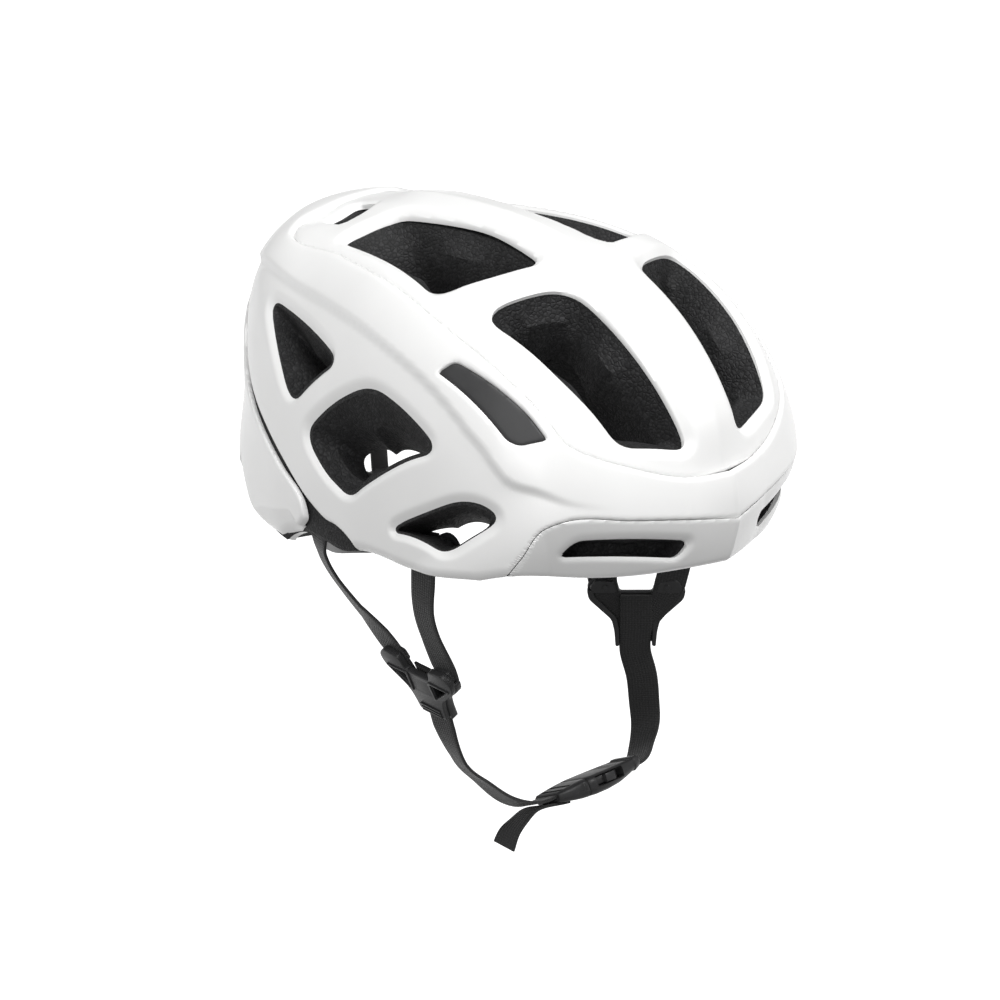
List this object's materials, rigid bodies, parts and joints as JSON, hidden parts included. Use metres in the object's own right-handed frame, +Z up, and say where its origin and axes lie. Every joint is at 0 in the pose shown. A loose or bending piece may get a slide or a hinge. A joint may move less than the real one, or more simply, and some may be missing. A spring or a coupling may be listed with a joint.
{
  "type": "cycling helmet",
  "caption": "Vented road cycling helmet with in-mould shells over foam, webbing with side dividers, a side-release buckle and a dial-adjusted nape cradle.",
  "frame": {"origin": "on the middle plane, inside the head cavity at the level of the temples, 45 mm above the centre that the shell is drawn from and 116 mm below the top of the crown", "axes": "+Z up, the wearer looks along -Y, and the wearer's right is -X"},
  "size_m": [0.1998, 0.2842, 0.2927],
  "materials": {
    "shell": "satin gloss moulded shell, white",
    "foam": "fine beaded foam, charcoal",
    "inlay": "matte moulded insert, dark grey",
    "pad": "brushed knit over soft foam, black",
    "webbing": "woven webbing, black",
    "plastic": "satin moulded nylon, black"
  },
  "bodies": {
    "helmet": {"brow_shell": "shell", "rear_shell": "shell", "crown_shell": "shell", "side_shell": "shell", "foam_liner": "foam", "inlay_left": "inlay", "inlay_right": "inlay", "brow_pad": "pad", "crown_pad": "pad", "side_pad_left": "pad", "side_pad_right": "pad", "strap_front_right": "webbing", "strap_front_left": "webbing", "strap_rear_right": "webbing", "strap_rear_left": "webbing", "chin_strap_right": "webbing", "chin_strap_left": "webbing", "strap_anchor_front_left": "plastic", "strap_anchor_front_right": "plastic", "strap_anchor_rear_left": "plastic", "strap_anchor_rear_right": "plastic", "temple_pin_left": "plastic", "temple_pin_right": "plastic", "hanger_guide": "plastic", "buckle_female": "plastic"},
    "cradle": {"cradle_housing": "plastic", "cradle_cover": "plastic", "nape_pad": "pad", "fit_band_left": "plastic", "fit_band_right": "plastic", "height_hanger": "plastic"},
    "dial": {"adjuster_dial": "plastic", "adjuster_pinion": "plastic"},
    "rack_left": {"fit_rack_left": "plastic"},
    "rack_right": {"fit_rack_right": "plastic"},
    "divider_left": {"divider_left": "plastic"},
    "divider_right": {"divider_right": "plastic"},
    "buckle_male": {"buckle_male": "plastic", "strap_tail": "webbing"},
    "prong_left": {"prong_left": "plastic"},
    "prong_right": {"prong_right": "plastic"}
  },
  "joints": [
    {"name": "cradle_height", "type": "hinge", "parent": "helmet", "child": "cradle", "pos_m": [0, -0.03, -0.012], "axis": [1, 0, 0], "range_deg": [-6, 3]},
    {"name": "dial_turn", "type": "hinge", "parent": "cradle", "child": "dial", "pos_m": [0, 0.0977, -0.044], "axis": [0, 1, 0], "range_deg": [-130, 130]},
    {"name": "rack_left_slide", "type": "slide", "parent": "cradle", "child": "rack_left", "axis": [1, 0, 0], "range_m": [-0.0095, 0.0095], "deforming": ["fit_band_left"]},
    {"name": "rack_right_slide", "type": "slide", "parent": "cradle", "child": "rack_right", "axis": [-1, 0, 0], "range_m": [-0.0095, 0.0095], "deforming": ["fit_band_right"]},
    {"name": "divider_left_slide", "type": "slide", "parent": "helmet", "child": "divider_left", "axis": [0.02, 0.02, -0.9996], "range_m": [-0.006, 0.006], "deforming": ["strap_front_left", "strap_rear_left", "chin_strap_left"]},
    {"name": "divider_right_slide", "type": "slide", "parent": "helmet", "child": "divider_right", "axis": [0.4507, 0.0501, -0.8913], "range_m": [-0.006, 0.006], "deforming": ["strap_front_right", "strap_rear_right", "chin_strap_right"]},
    {"name": "buckle_release", "type": "slide", "parent": "helmet", "child": "buckle_male", "axis": [-1, 0, 0], "range_m": [0, 0.035], "deforming": ["chin_strap_right"]},
    {"name": "prong_left_squeeze", "type": "hinge", "parent": "buckle_male", "child": "prong_left", "pos_m": [0.0202, -0.02448, -0.15821], "axis": [0, 0.4226, 0.9063], "range_deg": [0, 7], "stiffness_Nm_per_rad": 0.05},
    {"name": "prong_right_squeeze", "type": "hinge", "parent": "buckle_male", "child": "prong_right", "pos_m": [0.0202, -0.01252, -0.16379], "axis": [0, -0.4226, -0.9063], "range_deg": [0, 7], "stiffness_Nm_per_rad": 0.05}
  ],
  "couplings": [
    {"joint": "rack_left_slide", "follows": "dial_turn", "m_per_rad": 0.004},
    {"joint": "rack_right_slide", "follows": "dial_turn", "m_per_rad": 0.004}
  ]
}
